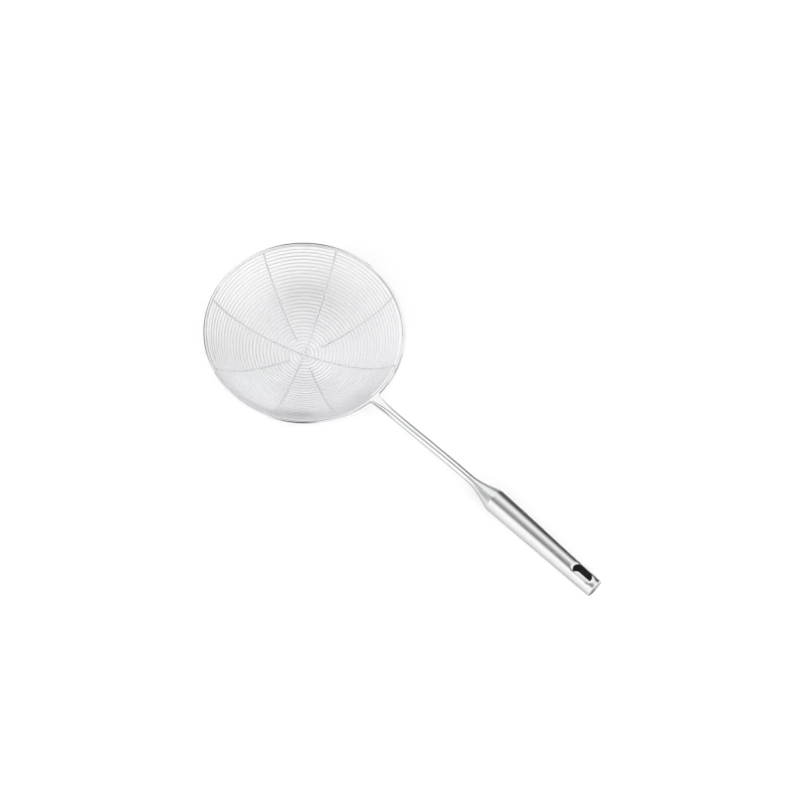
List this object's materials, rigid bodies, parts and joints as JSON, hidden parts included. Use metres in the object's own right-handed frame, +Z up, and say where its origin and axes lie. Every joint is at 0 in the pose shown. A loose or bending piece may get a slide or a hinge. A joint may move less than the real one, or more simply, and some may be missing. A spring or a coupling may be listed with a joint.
{
  "type": "frying strainer",
  "caption": "Stainless steel skimmer: a shallow bowl wound from one wire on ribs and a rim ring, with a rod stem and a hollow tapered handle with a hanging slot.",
  "frame": {"origin": "on the table, under the middle of the bounding box of the strainer as it rests on two ribs and the butt of its handle", "axes": "+X from the bowl towards the butt of the handle, +Z up from the table"},
  "size_m": [0.38, 0.16, 0.0676],
  "materials": {
    "rim_steel": "polished",
    "mesh_steel": "drawn",
    "rib_steel": "drawn",
    "stem_steel": "polished",
    "handle_steel": "polished"
  },
  "bodies": {
    "root": {"rim_ring": "rim_steel", "mesh_spiral": "mesh_steel", "cross_wire_upper": "rib_steel", "cross_wire_lower": "rib_steel", "short_rib_1": "rib_steel", "short_rib_2": "rib_steel", "short_rib_3": "rib_steel", "short_rib_4": "rib_steel", "stem_rod": "stem_steel", "handle_shell": "handle_steel", "handle_end_cap": "handle_steel"}
  },
  "joints": []
}
